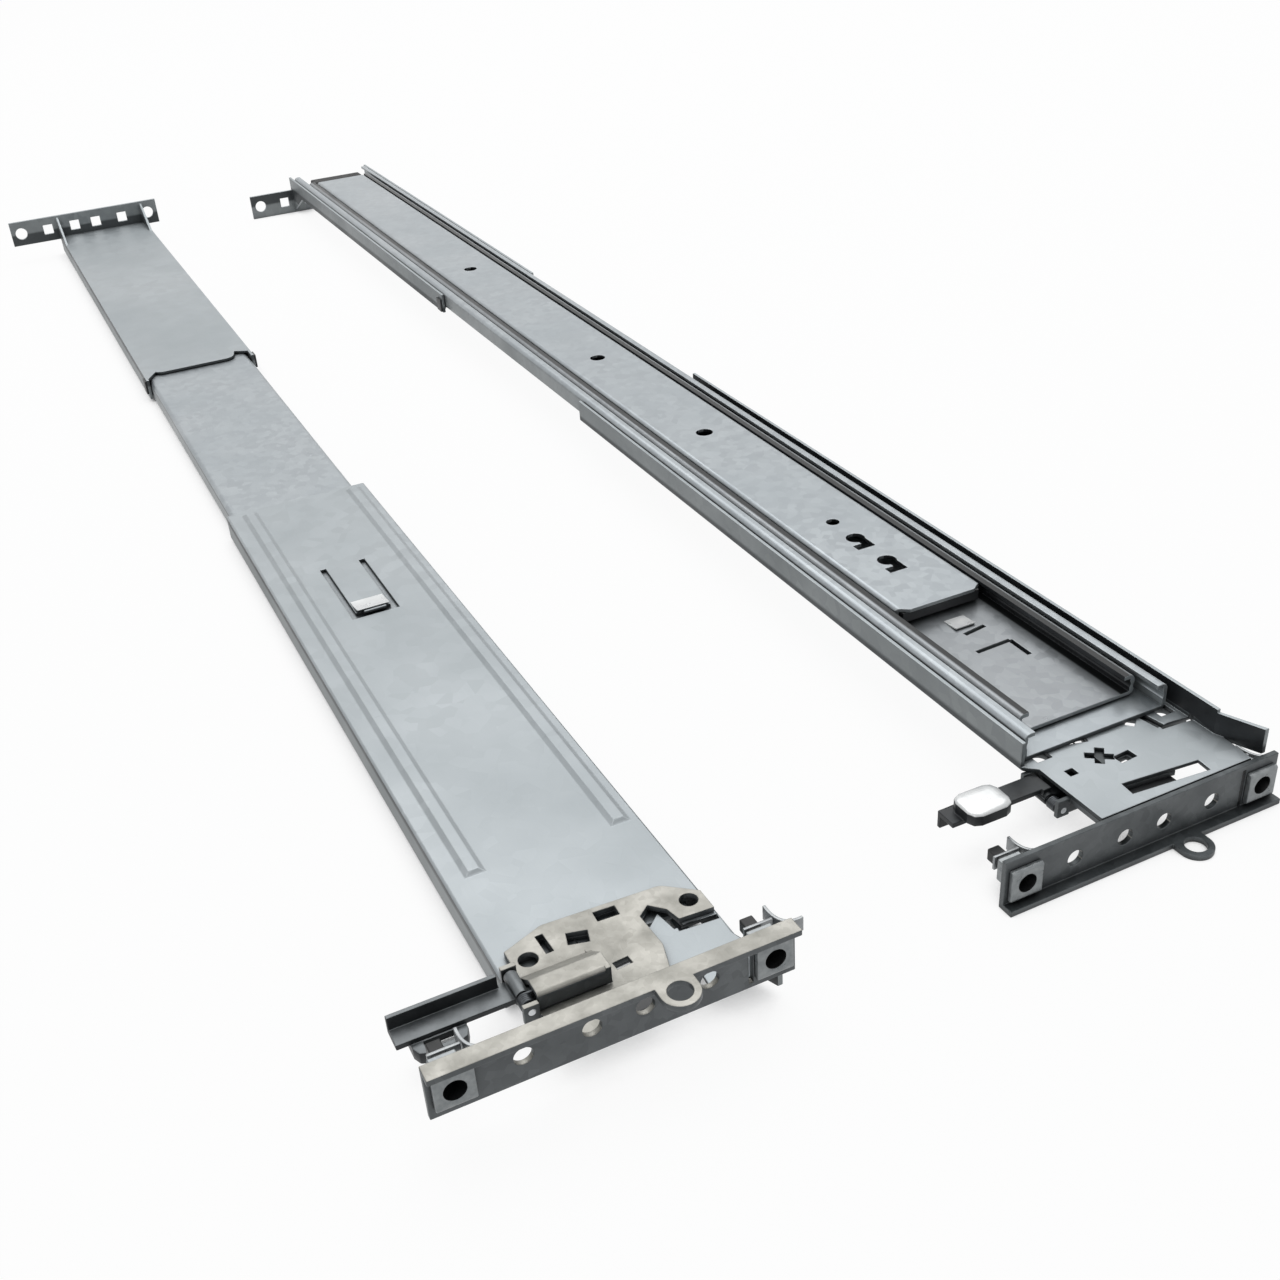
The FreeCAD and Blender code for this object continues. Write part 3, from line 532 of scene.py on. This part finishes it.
pinAxes = {hand: pinPlaces(hand) for hand in hands}
finishes = {
    "front_support": ({"round": 0.22,
                       "widened": ({"at": (48.1, 22.6), "reach": 2.9, "share": 1.6},
                                   {"at": (53.6, 19.0), "reach": 2.2, "share": 1.35})},
                      "galvanised_sheet",
                      {"flat": galvanised, "upright": galvanisedWall, "inward": shadedRaceway}),
    "front_bracket": ({"round": 0.2}, "bracket_zinc", {"flat": plated, "upright": platedWall,
                                                     "under": platedUnder}),
    "slide_channel": ({"round": 0.15}, "galvanised_sheet",
                      {"flat": rollFormed, "upright": rollFormedWall}),
    "middle_member": ({"round": 0.15}, "slide_zinc",
                      {"flat": rollFormedWeb, "upright": rollFormedWall, "inward": shadedRaceway}),
    "inner_member": ({"round": 0.15}, "slide_zinc",
                     {"flat": rollFormed, "upright": rollFormedWall, "inward": shadedRaceway}),
    "rear_bracket": ({"round": 0.2, "window": {"step": 15.875, "gap": 12.7, "reach": 4.05,
                                               "from": 760.0, "keep": 0.7}},
                     "galvanised_sheet", {"flat": galvanised, "upright": galvanisedWall}),
    "latch_lever": ({"round": 0.2, "pad": ((2.0, 15.0, -9.0), (16.6, 27.0, 1.45)),
                     "dome": {"at": (9.3, 21.4, -1.3), "steps": 6, "inset": 2.8, "height": 0.9}},
                    "lever_zinc", {"flat": leverSteel, "upright": leverSide, "under": leverSide,
                                   "pad": paddleReflection}),
    "mounting_pins": ({"round": 0.3, "bores": [(5.9, 7.25, 2.8), (82.1, 7.25, 2.8)]},
                      "pin_steel", {"flat": pinSteel, "bored": blackBore}),
    "rear_guides": ({"round": 0.2}, "guide_plastic", {"flat": acetal}),
    "rear_bumper": ({"round": 0.8}, "bumper_rubber", {"flat": rubber}),
}
for hand in hands:
    for part, (look, slot, skins) in finishes.items():
        node = hand + "_" + part
        finishedCopy(node, bodyOf[node], slot, look, skins)
    pin = nodes[hand + "_latch_pin"]
    pin.data.materials.clear()
    pin.data.materials.append(ballSteel)
print("sheet parts finished")


def ballRow(node, settings):
    # two rows of smooth balls at the level and reach of the node's own: a point at latitude a
    # and longitude b is the centre plus the radius times (cos a cos b, sin a, cos a sin b)
    hand = node.split("_")[0]
    low, high = railBox(node)
    radius = settings["radius"]
    latitude = np.linspace(-np.pi / 2, np.pi / 2, settings["rings"] + 1)[:, None]
    longitude = np.linspace(0, 2 * np.pi, settings["sides"], endpoint=False)[None, :]
    ball = np.stack(np.broadcast_arrays(np.cos(latitude) * np.cos(longitude), np.sin(latitude),
                                        np.cos(latitude) * np.sin(longitude)), -1) * radius
    ball = ball.reshape(-1, 3)
    across = (low[0] + radius, high[0] - radius)
    step = settings["length"] / settings["count"]
    stations = settings["start"] + step * (np.arange(settings["count"]) + 0.5)
    u, s = np.meshgrid(across, stations, indexing="ij")
    centres = np.stack([u, s, np.full(u.shape, (low[2] + high[2]) / 2)], -1).reshape(-1, 1, 3)
    points = (centres + ball[None]).reshape(-1, 3)
    one = gridFaces(settings["rings"] + 1, settings["sides"], closeColumns=True)
    faces = (one[None] + (np.arange(len(centres)) * len(ball))[:, None, None]).reshape(-1, 4)
    mesh = meshFrom(node + "_round", points, faces, hand)
    mergePoles(mesh)
    piece = addPiece(node + "_round", mesh, bodyOf[node], "ball_steel", ballSteel)
    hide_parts(node)
    return stations


def mergePoles(mesh):  # points that fall together become one, and faces point outwards
    soup = bmesh.new()
    soup.from_mesh(mesh)
    bmesh.ops.remove_doubles(soup, verts=soup.verts, dist=1e-6)
    bmesh.ops.recalc_face_normals(soup, faces=soup.faces)
    soup.to_mesh(mesh)
    soup.free()


def roundPocketCage(node, stations, settings):
    # retainer strips with a round pocket at each ball: in a cell one pitch long, quads run
    # from the pocket's circle to the cell's edge, met by each ray from the pocket's centre
    hand = node.split("_")[0]
    low, high = railBox(node)
    middle, halfHeight = (low[2] + high[2]) / 2, (high[2] - low[2]) / 2
    halfPitch = (stations[1] - stations[0]) / 2
    turn = np.linspace(0, 2 * np.pi, settings["sides"], endpoint=False) + np.pi / settings["sides"]
    ray = np.stack([np.cos(turn), np.sin(turn)], -1)
    reach = np.minimum(halfPitch / np.maximum(np.abs(ray[:, 0]), 1e-9),
                       halfHeight / np.maximum(np.abs(ray[:, 1]), 1e-9))
    corner = math.atan2(halfHeight, halfPitch)
    edge = ray * reach[:, None]
    for index in range(4):  # the four rays nearest to the cell's corners meet them exactly
        target = (corner, np.pi - corner, np.pi + corner, 2 * np.pi - corner)[index]
        nearest = np.argmin(np.abs(turn - target))
        edge[nearest] = (math.copysign(halfPitch, math.cos(target)),
                         math.copysign(halfHeight, math.sin(target)))
    circle = ray * settings["pocket"]
    rings, wind = [], settings["sides"]
    half = settings["sheet"] / 2
    for side, outline in ((-half, edge), (-half, circle), (half, circle), (half, edge)):
        rings.append(np.concatenate([np.full((wind, 1), side), outline], 1))
    cell = np.concatenate(rings)  # (across, along, up) about the pocket's centre
    one = gridFaces(4, wind, closeRows=True, closeColumns=True)
    across = (low[0] + half, high[0] - half)
    u, s = np.meshgrid(across, stations, indexing="ij")
    centres = np.stack([u, s, np.full(u.shape, middle)], -1).reshape(-1, 1, 3)
    points = (centres + cell[None]).reshape(-1, 3)
    faces = (one[None] + (np.arange(len(centres)) * len(cell))[:, None, None]).reshape(-1, 4)
    mesh = meshFrom(node + "_pocketed", points, faces, hand)
    mergePoles(mesh)
    mesh.polygons.foreach_set("use_smooth", np.zeros(len(mesh.polygons), bool))
    piece = addPiece(node + "_pocketed", mesh, bodyOf[node], "spring_steel", springSteel)
    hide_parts(node)


ballSettings = {"radius": 1.6, "rings": 8, "sides": 12, "count": 16}
cageSettings = {"pocket": 1.68, "sheet": 0.5, "sides": 24}
for hand in hands:
    for which in ("outer", "inner"):
        low, high = railBox("%s_%s_cage" % (hand, which))
        run = dict(ballSettings, start=low[1], length=high[1] - low[1])
        stations = ballRow("%s_%s_balls" % (hand, which), run)
        roundPocketCage("%s_%s_cage" % (hand, which), stations, cageSettings)
print("balls and cages made")


def tubeAlong(centres, normals, radius, sides):
    # round wire: each point of the path carries a circle spanned by its normal and by the
    # cross product of its tangent and that normal; the ends are closed by their own centres
    tangents = np.gradient(centres, axis=0)
    tangents /= np.linalg.norm(tangents, axis=1, keepdims=True)
    normals = normals - tangents * np.sum(normals * tangents, 1, keepdims=True)
    normals /= np.linalg.norm(normals, axis=1, keepdims=True)
    second = np.cross(tangents, normals)
    turn = np.linspace(0, 2 * np.pi, sides, endpoint=False)
    ring = (np.cos(turn)[None, :, None] * normals[:, None]
            + np.sin(turn)[None, :, None] * second[:, None])
    rings = centres[:, None] + radius * ring
    first, last = np.repeat(centres[:1, None], sides, 1), np.repeat(centres[-1:, None], sides, 1)
    rings = np.concatenate([first, rings, last])
    return rings.reshape(-1, 3), gridFaces(len(rings), sides, closeColumns=True)


springSettings = {"wire": 0.38, "turns": 4, "sides": 10, "perTurn": 28, "coil": 1.48,
                  "hoodLeg": 5.6, "plateLeg": 5.0}


def torsionSpring(hand, settings):
    # a helix round the hinge pin: at angle a the wire's middle is the coil's radius times
    # (cos a, sin a) across and out, and it moves one wire's width along per turn; each end
    # runs on as a straight leg along its own tangent
    node = hand + "_latch_spring"
    low, high = railBox(hand + "_latch_pin")
    centre = (low + high) / 2
    low, high = railBox(node)
    start, end = low[1] + settings["wire"], high[1] - settings["wire"]
    angle = np.linspace(-np.pi / 2, -np.pi / 2 - 2 * np.pi * settings["turns"] - np.pi,
                        settings["perTurn"] * settings["turns"])
    share = np.linspace(0, 1, len(angle))
    helix = np.stack([centre[0] + settings["coil"] * np.cos(angle), start + (end - start) * share,
                      centre[2] + settings["coil"] * np.sin(angle)], -1)
    radial = np.stack([np.cos(angle), 0 * angle, np.sin(angle)], -1)
    legShare = np.linspace(0.06, 1, 8)[:, None]
    hoodLeg = helix[-1] + legShare * np.array([settings["hoodLeg"], 0, 0])
    plateLeg = (helix[0] + legShare * np.array([settings["plateLeg"], 0, 0]))[::-1]
    centres = np.concatenate([plateLeg, helix, hoodLeg])
    normals = np.concatenate([np.repeat(radial[:1], 8, 0), radial, np.repeat(radial[-1:], 8, 0)])
    points, faces = tubeAlong(centres, normals, settings["wire"], settings["sides"])
    mesh = meshFrom(node + "_wound", points, faces, hand)
    mergePoles(mesh)
    piece = addPiece(node + "_wound", mesh, bodyOf[node], "spring_steel", springSteel)
    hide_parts(node)


def bentStrip(path, thickness, low, high):
    # flat strip on edge: each point of the path in the plane is set out by half the sheet to
    # both sides along its normal, at the lower and at the upper level
    tangents = np.gradient(path, axis=0)
    tangents /= np.linalg.norm(tangents, axis=1, keepdims=True)
    normals = np.stack([tangents[:, 1], -tangents[:, 0]], -1) * thickness / 2
    rows = []
    for side, level in ((-1, low), (1, low), (1, high), (-1, high)):
        flat = path + side * normals
        rows.append(np.concatenate([flat, np.full((len(path), 1), level)], 1))
    points = np.stack(rows, 1).reshape(-1, 3)
    faces = gridFaces(len(path), 4, closeColumns=True).tolist()
    last = 4 * (len(path) - 1)
    return points, faces + [[0, 1, 2, 3], [last + 3, last + 2, last + 1, last]]


clipSettings = {"sheet": 0.8, "round": 0.12, "legEnd": 13.2, "leg": 4.6, "foot": 11.3,
                "station": 5.2, "seat": 8.6, "samples": 40, "sharp": 40}


def pinClip(hand, settings):
    # each clip's leg and foot are two straight runs joined by a smooth curve: with a share t
    # from one end to the other, the point is the mean of three handles weighted by
    # (1 - t) squared, 2 t (1 - t) and t squared
    node = hand + "_pin_clips"
    low, high = railBox(node)
    parts, faces, offset = [], [], 0
    half = settings["sheet"] / 2
    for u, o in pinAxes[hand]:
        share = np.linspace(0, 1, settings["samples"])[:, None]
        top = np.array([[u + settings["leg"] + half + 0.5, settings["legEnd"]]])
        knee = np.array([[u + settings["leg"] + half - 0.2, settings["station"] - 0.5]])
        tip = np.array([[u + settings["foot"], settings["station"] + half]])
        curve = (1 - share) ** 2 * top + 2 * share * (1 - share) * knee + share ** 2 * tip
        seat = np.array([[u - 2.5, settings["seat"]], [u, settings["seat"]],
                         [u + settings["leg"] + half, settings["seat"]]])
        for path in (curve, seat):
            points, quads = bentStrip(path, settings["sheet"], low[2], high[2])
            parts.append(points)
            faces += [[v + offset for v in quad] for quad in quads]
            offset += len(points)
    mesh = meshFrom(node + "_bent", np.concatenate(parts), faces, hand)
    mergePoles(mesh)
    piece = addPiece(node + "_bent", mesh, bodyOf[node], "spring_steel", clipSteel)
    addRounding(piece, settings["round"], settings["sharp"])
    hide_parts(node)


for hand in hands:
    torsionSpring(hand, springSettings)
    pinClip(hand, clipSettings)
print("springs and clips made")


def gridBlock(low, high, rise, steps):
    # a thin plate on a grid: its level rises along s from the far end to the near one by the
    # full rise times the square of the share of the way, and it has the plate's own thickness
    s = np.linspace(high[1], low[1], steps)
    lift = rise * np.linspace(0, 1, steps) ** 2
    ring = []
    for u, level in ((low[0], low[2]), (high[0], low[2]), (high[0], high[2]), (low[0], high[2])):
        ring.append(np.stack([np.full(steps, u), s, level + lift], -1))
    points = np.stack(ring, 1).reshape(-1, 3)
    faces = gridFaces(steps, 4, closeColumns=True).tolist()
    last = 4 * (steps - 1)
    return points, faces + [[0, 1, 2, 3], [last + 3, last + 2, last + 1, last]]


plateSettings = {"steps": 10, "round": 0.08, "sharp": 40}
smallPlates = (
    # the lifted tip of the spring tongue, near white: a painted highlight
    {"name": "tongue_tip", "rides": "front_support", "low": (48.9, 210.6, 1.2), "high": (60.1, 219.5, 1.5),
     "rise": 1.3, "slot": "galvanised_sheet", "finish": highlightZinc},
    # the lanced stop in the middle member's web, near white: a painted highlight
    {"name": "stop_tab", "rides": "middle_member", "low": (51.6, 89.4, -3.5), "high": (58.6, 95.4, -3.0),
     "rise": -0.5, "slot": "slide_zinc", "finish": highlightZinc},
    # a black block behind the bracket's long slot: painted shade seen through the slot
    {"name": "slot_pad", "rides": "front_bracket", "low": (42.0, 3.0, 2.85), "high": (60.5, 11.8, 3.4),
     "rise": 0.0, "slot": "guide_plastic", "finish": acetal},
    # a black block at the running member's front end: painted shade in the gap under its edge
    {"name": "front_shade_block", "rides": "inner_member", "low": (39.6, 99.6, -7.7), "high": (67.4, 102.0, -4.4),
     "rise": 0.0, "slot": "guide_plastic", "finish": acetal},
)


def smallPlate(hand, plate):
    name = "%s_%s" % (hand, plate["name"])
    points, faces = gridBlock(plate["low"], plate["high"], plate["rise"], plateSettings["steps"])
    mesh = meshFrom(name, points, faces, hand)
    mergePoles(mesh)
    mesh.polygons.foreach_set("use_smooth", np.zeros(len(mesh.polygons), bool))
    body = bodyOf["%s_%s" % (hand, plate["rides"])]
    piece = addPiece(name, mesh, body, plate["slot"], plate["finish"])
    addRounding(piece, plateSettings["round"], plateSettings["sharp"])


for hand in hands:
    for plate in smallPlates:
        smallPlate(hand, plate)
print("small plates made")


floorSettings = {"half": 12.0, "colour": "#8E8E8C", "seen": "#FFFFFF", "share": 0.94, "under": 0.014}


def paleFloor(settings):
    # rays from the camera and from shiny surfaces see a nearly white floor that still
    # keeps part of the shadow and loses its glow where the rails stand close above, painted shade under
    # them; soft light sees a mid grey one
    mesh = bpy.data.meshes.new("floor")
    h = settings["half"]
    mesh.from_pydata([(-h, -h, 0), (h, -h, 0), (h, h, 0), (-h, h, 0)], [], [(0, 1, 2, 3)])
    floor = bpy.data.objects.new("floor", mesh)
    bpy.context.scene.collection.objects.link(floor)
    material = bpy.data.materials.new("pale_floor")
    material.use_nodes = True
    tree = material.node_tree
    tree.nodes.clear()
    grey = addNode(tree, "ShaderNodeBsdfDiffuse", {"Color": linear(settings["colour"])})
    white = addNode(tree, "ShaderNodeBsdfDiffuse", {"Color": linear(settings["seen"])})
    glow = addNode(tree, "ShaderNodeEmission", {"Color": linear(settings["seen"]), "Strength": 1.0})
    # painted shade: less glow where ambient occlusion finds the rails close above
    under = addNode(tree, "ShaderNodeAmbientOcclusion", {"samples": 6, "Distance": settings["under"]})
    share = ramp(tree, under.outputs["AO"], 0.15, 0.6, 0.0, settings["share"])
    seen = addNode(tree, "ShaderNodeMixShader",
                   links={0: share, 1: white.outputs[0], 2: glow.outputs[0]})
    whole = addNode(tree, "ShaderNodeMixShader",
                    links={0: seenDirectly(tree), 1: grey.outputs[0], 2: seen.outputs[0]})
    addNode(tree, "ShaderNodeOutputMaterial", links={"Surface": whole.outputs[0]})
    mesh.materials.append(material)


def seenDirectly(tree):  # 1 for camera, glossy and transmission rays
    path = addNode(tree, "ShaderNodeLightPath")
    either = addNode(tree, "ShaderNodeMath", {"operation": "MAXIMUM"},
                     {0: path.outputs["Is Camera Ray"], 1: path.outputs["Is Glossy Ray"]})
    return addNode(tree, "ShaderNodeMath", {"operation": "MAXIMUM"},
                   {0: either.outputs[0], 1: path.outputs["Is Transmission Ray"]}).outputs[0]


paleFloor(floorSettings)


worldSettings = {"soft": "#E6EAEE", "strength": 0.3}


def softWorld(settings):
    world = bpy.data.worlds.new("studio")
    bpy.context.scene.world = world
    world.use_nodes = True
    tree = world.node_tree
    tree.nodes.clear()
    soft = addNode(tree, "ShaderNodeBackground",
                   {"Color": linear(settings["soft"]), "Strength": settings["strength"]})
    white = addNode(tree, "ShaderNodeBackground", {"Color": linear("#FFFFFF"), "Strength": 1.0})
    whole = addNode(tree, "ShaderNodeMixShader",
                    links={0: seenDirectly(tree), 1: soft.outputs[0], 2: white.outputs[0]})
    addNode(tree, "ShaderNodeOutputWorld", links={"Surface": whole.outputs[0]})


softWorld(worldSettings)


lamps = (
    {"name": "key", "place": (0.5, 0.8, 2.2), "aim": (0.0, 0.0, 0.0), "size": 2.4, "watts": 38.0},
    {"name": "fill", "place": (-1.8, -0.9, 1.3), "aim": (0.0, -0.1, 0.0), "size": 1.6, "watts": 6.0},
)
for lamp in lamps:
    light = bpy.data.lights.new(lamp["name"], "AREA")
    light.size = lamp["size"]
    light.energy = lamp["watts"]
    holder = bpy.data.objects.new(lamp["name"], light)
    holder.location = lamp["place"]
    aim = Vector(lamp["aim"]) - Vector(lamp["place"])
    holder.rotation_euler = aim.to_track_quat("-Z", "Y").to_euler()
    bpy.context.scene.collection.objects.link(holder)


cameraSettings = {
    "place": (-0.16035, -0.5927, 0.24926),  # metres
    "heading": 24.155,  # degrees from +Y towards +X
    "pitch": 31.255,  # degrees below level
    "roll": -4.148,
    "lens": 41.48, "sensor": 36.0}  # mm


def aimedCamera(settings):
    heading, pitch, roll = (math.radians(settings[k]) for k in ("heading", "pitch", "roll"))
    forward = Vector((math.sin(heading) * math.cos(pitch), math.cos(heading) * math.cos(pitch),
                      -math.sin(pitch)))
    level = Vector((math.cos(heading), -math.sin(heading), 0))
    upright = level.cross(forward)
    right = level * math.cos(roll) + upright * math.sin(roll)
    up = upright * math.cos(roll) - level * math.sin(roll)
    turn = Matrix((right, up, -forward)).transposed().to_4x4()
    data = bpy.data.cameras.new("camera")
    data.lens = settings["lens"]
    data.sensor_width = settings["sensor"]
    data.clip_start, data.clip_end = 0.01, 50.0
    camera = bpy.data.objects.new("camera", data)
    camera.matrix_world = Matrix.Translation(settings["place"]) @ turn
    bpy.context.scene.collection.objects.link(camera)
    bpy.context.scene.camera = camera


aimedCamera(cameraSettings)
bpy.context.scene.view_settings.view_transform = "Standard"
print("studio set")
